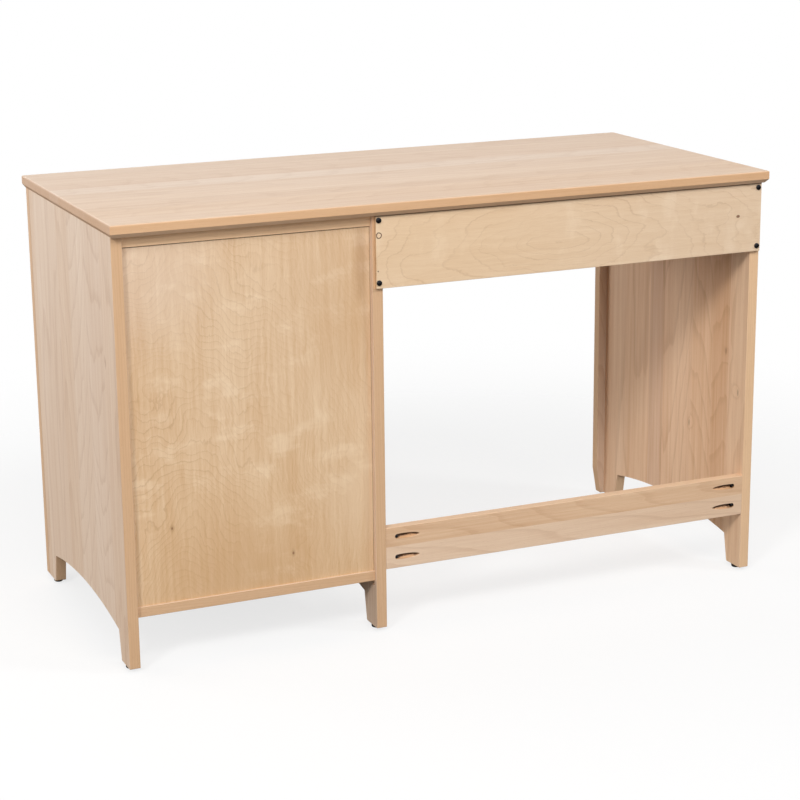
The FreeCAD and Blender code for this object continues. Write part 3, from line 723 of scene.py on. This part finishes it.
def board_wood(name, grain, staves, high, tones=None, marks=(), bends=(), slot_wood_and_shade=None):
    """Solid boards glued edge to edge; grain names the axes along and across the boards."""
    material, g, shader = new_material(name)
    place = grain_place(g, grain)
    chance, middle, tint, warmth = board_values(g, g.split(place)[1], staves, high)
    drawn = {"Position": place, "Chance": chance, "Middle": middle, "Bend": bend_round(g, bends)}
    figure = g.group(growth_rings, drawn)
    fibre = g.group(wood_fibre, {"Position": place, "Chance": chance})
    inputs = {"Tint": tint, "Warmth": warmth, **alder, **(tones or {}), **face_masks(g, grain)}
    inputs.update({key: figure[key] for key in ("Rings", "Lines")})
    inputs.update({key: fibre[key] for key in ("Cloud", "Streaks", "Fibre", "Pores")})
    finish_wood(g, shader, inputs, marks, slot_wood_and_shade(g) if slot_wood_and_shade else ())
    return material


def pocket_wood_and_shade(g):
    """The four slots of the stretcher: torn orange wood inside, with painted shade at their upper side and
    deep end.
    """
    x, y, z = g.split(g.object_place())[:3]
    front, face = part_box("lower_stretcher")[0].y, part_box("lower_stretcher")[1].y
    below_face = g.smooth(y, *(face - depth for depth in face_skin))
    above_front = g.smooth(y, *(front + depth for depth in front_skin))
    inside = g.product(below_face, above_front)
    height = g.math("SUBTRACT", z, pocket_low - pocket_spacing / 2)
    height = g.math("SUBTRACT", g.math("MODULO", height, pocket_spacing), pocket_spacing / 2)
    slot = g.smooth(g.math("ABSOLUTE", height), pocket_reach + pocket_blur, pocket_reach)
    torn = g.swing(g.noise(g.join(x, y, z), (90.0, 300.0, 420.0), detail=3.0), pocket_tear)
    # Painted shade: the upper side of each slot and its deep end
    upper = g.smooth(g.total(height, torn), *shade_heights)
    deep = g.smooth(g.total(y, torn), *(face - depth for depth in shade_depths))
    slot = g.product(slot, inside)
    return (
        (g.product(slot, 0.75), torn_orange),
        (g.product(slot, g.math("MAXIMUM", upper, deep), 0.96), slot_shade_brown),
    )


def ply_layers(g, name, grain, masks):
    """Plies and glue lines on the edges of a plywood panel."""
    axis = next(letter for letter in axis_letters if letter not in grain)
    low, high = span(name, axis)
    depth = g.split(g.object_place())[axis_letters.index(axis)]
    bands = g.group(ply_edge, {"Through": g.math("DIVIDE", g.math("SUBTRACT", depth, low), high - low)})
    edge = g.math("MAXIMUM", masks["Edge Face"], masks["End Face"])
    return (
        (g.product(edge, bands["Cross Ply"], 0.45), birch["Deep"]),
        (g.product(edge, bands["Glue"], 0.50), joint_and_shade_brown),
    )


def veneer_wood(node, grain, rings, tones, fades=None, marks=(), bends=()):
    """A plywood panel; grain names the axes along and across the veneer, and fades shift a tone across it."""
    material, g, shader = new_material(f"{node}_plywood")
    place = grain_place(g, grain)
    figure = g.group(peeled_rings, {"Position": place, "Bend": bend_round(g, bends), **rings})
    shorter = g.vector("MULTIPLY", place, veneer_fibre)
    fibre = g.group(wood_fibre, {"Position": shorter, "Chance": veneer_chance, "Crinkle": veneer_crinkle})
    masks = face_masks(g, grain)
    inputs = {**tones, **masks}
    for key, (axis, start, end, low, high) in (fades or {}).items():
        share = g.smooth(g.split(g.object_place())[axis_letters.index(axis)], start, end)
        inputs[key] = g.total(low, g.product(share, high - low))
    inputs.update({key: figure[key] for key in ("Rings", "Lines", "Patches")})
    inputs.update({key: fibre[key] for key in ("Cloud", "Streaks", "Fibre", "Pores")})
    finish_wood(g, shader, inputs, marks, ply_layers(g, node, grain, masks))
    dress(node, material)


def shaded(colour, share):
    """A colour made darker or brighter."""
    return tuple(channel * share for channel in colour[:3]) + (1.0,)


def metal(name, colour, roughness, mottle_scale, bump):
    """Plated sheet or a blackened screw: faint mottling, and fine scratches in the roughness."""
    material, g, shader = new_material(name)
    place = g.object_place()
    mottle = g.noise(place, (mottle_scale,) * 3, detail=3.0)
    fine = mottle_scale * scratch_fineness
    scratch = g.noise(place, (fine, mottle_scale, fine))
    g.feed(shader.inputs["Base Color"], g.mix(mottle, shaded(colour, mottle_share), colour))
    g.feed(shader.inputs["Roughness"], g.total(roughness - 0.08, g.product(scratch, 0.16)))
    shader.inputs["Metallic"].default_value = 1.0
    raised = g.add("ShaderNodeBump", {"Height": scratch, "Distance": bump, "Strength": 0.4})
    g.feed(shader.inputs["Normal"], raised.outputs["Normal"])
    return material


def plastic(name, colour, roughness):
    """Moulded plastic with a fine speckle and paler scuffs."""
    material, g, shader = new_material(name)
    place = g.object_place()
    speckle = g.noise(place, (900.0, 900.0, 900.0))
    scuffs = g.smooth(speckle, *scuff_range)
    g.feed(shader.inputs["Base Color"], g.mix(scuffs, colour, shaded(colour, scuff_share)))
    g.feed(shader.inputs["Roughness"], g.total(roughness, g.product(speckle, 0.1)))
    return material


def plain_board(node, grain, tint, seams=(), **more):
    """A node cut from one board, or from several where seams gives the shares of its width."""
    low, high = span(node, grain[1])
    staves = [(low, tint, even_warmth)]
    for index, seam in enumerate(seams):
        step = tint_steps[index % len(tint_steps)]
        staves.append((low + seam * (high - low), tint + step, even_warmth))
    dress(node, board_wood(f"{node}_wood", grain, staves, high, **more))


# Pieces


def side_seam():
    """The glue line on the case's outer side between the face frame and the standing panel."""
    return joint_and_shade_line("Y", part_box("pedestal_stile")[1].y, share=0.55, colour=seam_brown)


def dress_panels():
    """The top and the three standing panels, glued from boards."""
    top_high, case_high = span("tabletop", "Y")[1], span("pedestal_side", "Y")[1]
    dress("tabletop", board_wood("top_wood", "XY", top_staves, top_high, tones=top_tones))
    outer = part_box("pedestal_side")[1].x
    marks = [side_seam()]
    for y, z in side_nicks:
        marks.append(spot((outer, y, z), 0.0010, 0.0016, 0.45, alder["Line"], Scale=(1.0, 1.0, 0.25)))
    dress("pedestal_side", board_wood("pedestal_side_wood", "ZY", side_staves, case_high, marks=marks))
    dress("partition", board_wood("partition_wood", "ZY", partition_staves, case_high))
    dress_kneehole_side(case_high)


def dress_kneehole_side(high):
    """The liveliest panel, with small knots in its inner face."""
    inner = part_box("kneehole_side")[1].x
    knots = [(inner, y, z) for y, z in kneehole_knots]
    marks = [spot(place, 0.0008, 0.0022, 0.5, knot_brown, Scale=(0.5, 1.0, 0.3)) for place in knots]
    drawn = {
        "tones": kneehole_side_tones,
        "marks": marks,
        "bends": [(place, 0.030, 0.004) for place in knots],
    }
    dress("kneehole_side", board_wood("kneehole_side_wood", "ZY", kneehole_staves, high, **drawn))


def dress_frame_and_rails():
    """The face frame, the rails, the cleats and spacers, and the bottom board."""
    for node in stiles:
        plain_board(node, "ZX", stile_tint, marks=(side_seam(),) if node == "pedestal_stile" else ())
    for node, (grain, tint) in single_boards.items():
        plain_board(node, grain, tint)
    plain_board("pedestal_bottom", "XY", bottom_tint, seams=bottom_seams)
    # Painted shade on the rail's top where it meets the tabletop, under the top's overhang
    shade_under_top = joint_and_shade_line("Z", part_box("tabletop")[0].z, width=0.0016)
    plain_board("back_top_rail", "XY", back_rail_tint, tones=back_rail_tones, marks=(shade_under_top,))


def dress_stretcher():
    """Two boards, the lower one warmer, with the slots, their upper side and deep end darkened by painted
    shade.
    """
    low, high = span("lower_stretcher", "Z")
    staves = [(low + share * (high - low), tint, warmth) for share, tint, warmth in stretcher_boards]
    wood = board_wood("stretcher_wood", "XZ", staves, high, tones=stretcher_tones, slot_wood_and_shade=pocket_wood_and_shade)
    dress("lower_stretcher", wood)


def dress_back_panel():
    """The pedestal back: wild contour lines near the side panel that calm down into straight fibre."""
    side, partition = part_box("pedestal_side")[0].x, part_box("partition")[1].x
    rail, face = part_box("back_top_rail")[0].z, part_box("back_panel")[1].y
    streak, shade, *knots = (
        (x, face, z) for x, z in (back_panel_streak, back_panel_shade, *back_panel_knots)
    )
    marks = []
    for (x, z), outer, blur, share, colour in back_panel_patches:
        marks.append(spot((x, face, z), outer, blur, share, colour, Ragged=patch_ragged))
    marks.append(spot(streak, 0.004, 0.016, 0.35, birch["Line"], Scale=(1.0, 0.2, 0.22)))
    marks.append(spot(shade, 0.01, 0.12, 0.35, birch["Deep"], Scale=(1.0, 0.2, 0.6)))
    marks += [spot(place, 0.001, 0.008, 0.45, birch["Line"], Scale=(1.6, 0.2, 0.8)) for place in knots]
    marks += [spot(place, 0.0006, 0.002, 0.6, knot_brown, Scale=(1.0, 0.2, 0.7)) for place in knots]
    marks += [joint_and_shade_line("X", side, share=0.3), joint_and_shade_line("X", partition, share=0.4), joint_and_shade_line("Z", rail)]
    bends = [(place, 0.05, 0.014) for place in knots]
    veneer_wood("back_panel", "ZX", back_panel_rings, back_panel_tones, back_panel_fades, marks, bends)


def dress_apron():
    """The kneehole apron: a few thin, long contour lines, and small knots and pins."""
    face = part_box("kneehole_apron")[1].y
    plug, pin, knot, faint_knot = (
        (x, face, z) for x, z in (apron_plug, apron_pin, apron_knot, apron_faint_knot)
    )
    marks = (
        spot(plug, 0.0050, 0.0007, 0.95, pin_brown, Inner=0.0040, Ragged=0.5),
        spot(pin, 0.0009, 0.0008, 0.8, pin_brown),
        spot(knot, 0.0026, 0.0012, 0.85, knot_brown, Scale=(0.8, 0.3, 1.2)),
        spot(faint_knot, 0.0020, 0.0020, 0.35, maple["Line"], Scale=(0.5, 0.3, 1.4)),
        # Painted shade on the apron's top where it meets the tabletop, under the top's overhang
        joint_and_shade_line("Z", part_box("tabletop")[0].z, width=0.0020),
    )
    bends = ((knot, 0.03, 0.006),)
    veneer_wood("kneehole_apron", "XZ", apron_rings, apron_tones, apron_fades, marks, bends)


def dress_drawers():
    """Fronts, sides, backs and knobs of solid wood, and bottoms of plywood."""
    for index, name in enumerate(drawer_names):
        low, high = span(f"{name}_front", "Z")
        seams = front_seams if high - low > glued_front_height else ()
        plain_board(f"{name}_front", "XZ", front_tint + front_tint_step * index, seams=seams)
        for part, (grain, tint) in drawer_boards.items():
            plain_board(f"{name}_{part}", grain, tint)
        rings = {"Eye": (0.1 * index, -0.1, 0.0), "Seed": float(index)}
        veneer_wood(f"{name}_bottom", "XY", rings, drawer_bottom_tones)


def dress_hardware():
    """Black screws and glides where they show, and plated steel for the rest."""
    steel = metal("zinc_steel", steel_grey, roughness=0.38, mottle_scale=120.0, bump=0.00005)
    black = metal("black_oxide", screw_black, roughness=0.42, mottle_scale=300.0, bump=0.00004)
    dress("apron_screws", black)
    dress("stretcher_screws", black)
    dress("foot_glides", plastic("glide_plastic", glide_black, roughness=0.35))
    for node in ("slide_cabinet_members", "top_screws", "glide_nails"):
        dress(node, steel)
    for name in drawer_names:
        for suffix in ("slide_member", "slide_middle", "knob_screw"):
            dress(f"{name}_{suffix}", steel)


# Studio


def make_camera():
    """The photograph's view of the desk's rear."""
    angles = (camera_azimuth, camera_elevation, camera_roll)
    azimuth, elevation, roll = (math.radians(angle) for angle in angles)
    level = math.cos(elevation)
    back = Vector((math.sin(azimuth) * level, -math.cos(azimuth) * level, math.sin(elevation)))
    right = Vector((0, 0, 1)).cross(back).normalized()
    up = back.cross(right)
    rolled_right = right * math.cos(roll) + up * math.sin(roll)
    rolled_up = up * math.cos(roll) - right * math.sin(roll)
    camera = bpy.data.objects.new("camera", bpy.data.cameras.new("camera"))
    camera.data.lens = camera_lens
    turned = Matrix((rolled_right, rolled_up, back)).transposed().to_4x4()
    camera.matrix_world = Matrix.Translation(camera_place) @ turned
    bpy.context.scene.collection.objects.link(camera)
    bpy.context.scene.camera = camera


def make_lamp(name, azimuth, elevation, distance, size, power):
    """A square area lamp that faces the desk's middle."""
    turn, rise = math.radians(azimuth), math.radians(elevation)
    away = Vector((math.sin(turn) * math.cos(rise), -math.cos(turn) * math.cos(rise), math.sin(rise)))
    target = Vector((0, 0, (cad_box[0].z + cad_box[1].z) / 2))
    lamp = bpy.data.lights.new(name, "AREA")
    lamp.shape = "SQUARE"
    lamp.size = size
    lamp.energy = power
    light = bpy.data.objects.new(name, lamp)
    facing = away.to_track_quat("Z", "Y").to_matrix().to_4x4()
    light.matrix_world = Matrix.Translation(target + away * distance) @ facing
    bpy.context.scene.collection.objects.link(light)


def make_world():
    """White where it is seen, and a plain dome of light for the desk."""
    world = bpy.data.worlds.new("studio")
    world.use_nodes = True
    bpy.context.scene.world = world
    g = Graph(world.node_tree)
    path = g.add("ShaderNodeLightPath").outputs
    seen = g.math("MAXIMUM", path["Is Camera Ray"], path["Is Glossy Ray"])
    seen = g.math("MAXIMUM", seen, path["Is Transmission Ray"])
    strength = g.add("ShaderNodeMapRange", {"Value": seen, "To Min": dome_strength, "To Max": 1.0})
    background = world.node_tree.nodes["Background"]
    g.feed(background.inputs["Color"], white)
    g.feed(background.inputs["Strength"], strength.outputs["Result"])


def diffuse(g, colour):
    return g.add("ShaderNodeBsdfDiffuse", {"Color": colour}).outputs[0]


def make_floor():
    """A white floor that keeps the desk's soft shadow and fades into the white round it."""
    half = floor_size / 2
    mesh = bpy.data.meshes.new("floor")
    corners = [(-half, -half, 0), (half, -half, 0), (half, half, 0), (-half, half, 0)]
    mesh.from_pydata(corners, [], [(0, 1, 2, 3)])
    floor = bpy.data.objects.new("floor", mesh)
    bpy.context.scene.collection.objects.link(floor)
    material = bpy.data.materials.new("floor")
    material.use_nodes = True
    g = Graph(material.node_tree)
    glow = g.add("ShaderNodeEmission", {"Color": white, "Strength": 1.0}).outputs[0]
    shaded = g.add("ShaderNodeMixShader", {0: shadow_share, 1: glow, 2: diffuse(g, white)}).outputs[0]
    clear = g.add("ShaderNodeBsdfTransparent").outputs[0]
    below = g.add("ShaderNodeNewGeometry").outputs["Backfacing"]
    away = g.math("MAXIMUM", g.smooth(g.length(g.object_place()), fade_start, fade_end), below)
    faded = g.add("ShaderNodeMixShader", {0: away, 1: shaded, 2: clear}).outputs[0]
    camera_ray = g.add("ShaderNodeLightPath").outputs["Is Camera Ray"]
    surface = g.add("ShaderNodeMixShader", {0: camera_ray, 1: diffuse(g, floor_bounce), 2: faded}).outputs[0]
    g.feed(material.node_tree.nodes["Material Output"].inputs["Surface"], surface)
    mesh.materials.append(material)


make_camera()
make_world()
make_floor()
for lamp_name, placing in lamps.items():
    make_lamp(lamp_name, **placing)
dress_panels()
dress_frame_and_rails()
dress_stretcher()
dress_back_panel()
dress_apron()
dress_drawers()
dress_hardware()

bpy.context.scene.view_settings.view_transform = "Standard"
